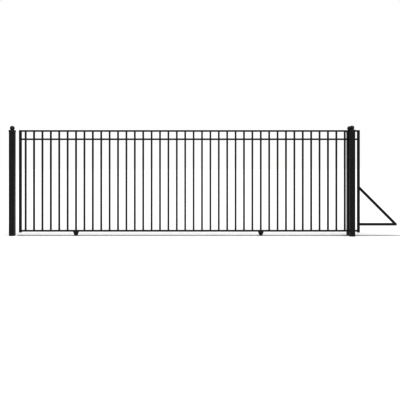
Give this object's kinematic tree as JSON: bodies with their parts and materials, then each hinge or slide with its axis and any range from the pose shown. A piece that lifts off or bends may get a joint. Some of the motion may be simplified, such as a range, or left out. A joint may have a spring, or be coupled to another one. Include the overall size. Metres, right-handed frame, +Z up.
{
  "type": "tracked sliding gate",
  "caption": "Black steel picket gate leaf on two grooved wheels, with its floor track, latch post, paired guide posts and ball caps.",
  "frame": {"origin": "centre of the latch post's foot, at ground level", "axes": "+X along the gate from the latch post to the guide posts and the way the leaf opens, +Y to the rear, +Z up"},
  "size_m": [10.3782, 0.252, 1.9656],
  "materials": {
    "black_coat": "fine textured black powder coat",
    "black_casting": "black powder coat over cast aluminium",
    "black_plastic": "moulded black plastic",
    "galvanised_track": "hot-dip galvanised, dull",
    "wheel_steel": "black oxide over turned steel, worn bright where the groove runs",
    "black_fixing": "black oxide",
    "zinc_fixing": "zinc plated",
    "bearing_steel": "ground steel",
    "nylon": "natural nylon"
  },
  "bodies": {
    "posts_and_track": {"latch_post": "black_coat", "post_caps": "black_casting", "front_guide_post": "black_coat", "rear_guide_post": "black_coat", "front_guide_plate": "black_coat", "rear_guide_plate": "black_coat", "front_guide_block": "nylon", "rear_guide_block": "nylon", "track_section_1": "galvanised_track", "track_section_2": "galvanised_track", "track_section_3": "galvanised_track"},
    "leaf": {"left_upright": "black_coat", "right_upright": "black_coat", "upright_plugs": "black_plastic", "top_rail": "black_coat", "middle_rail": "black_coat", "bottom_rail": "black_coat", "long_pickets": "black_coat", "short_pickets": "black_coat", "tail_bar": "black_coat", "tail_brace": "black_coat", "tail_bar_plug": "black_plastic", "wheel_cheeks": "black_coat", "axle_bolts": "black_fixing", "axle_nuts": "black_fixing", "axle_sleeves": "zinc_fixing"},
    "left_wheel": {"left_wheel": "wheel_steel", "left_bearing": "bearing_steel"},
    "right_wheel": {"right_wheel": "wheel_steel", "right_bearing": "bearing_steel"}
  },
  "joints": [
    {"name": "leaf_slide", "type": "slide", "parent": "posts_and_track", "child": "leaf", "axis": [1, 0, 0], "range_m": [-0.07, 5.78]},
    {"name": "left_wheel_turn", "type": "hinge", "parent": "leaf", "child": "left_wheel", "pos_m": [1.14325, 0, 0.03703], "axis": [0, 1, 0], "continuous": true},
    {"name": "right_wheel_turn", "type": "hinge", "parent": "leaf", "child": "right_wheel", "pos_m": [4.45425, 0, 0.03703], "axis": [0, 1, 0], "continuous": true}
  ],
  "couplings": [
    {"joint": "left_wheel_turn", "follows": "leaf_slide", "rad_per_m": 36.364},
    {"joint": "right_wheel_turn", "follows": "leaf_slide", "rad_per_m": 36.364}
  ]
}
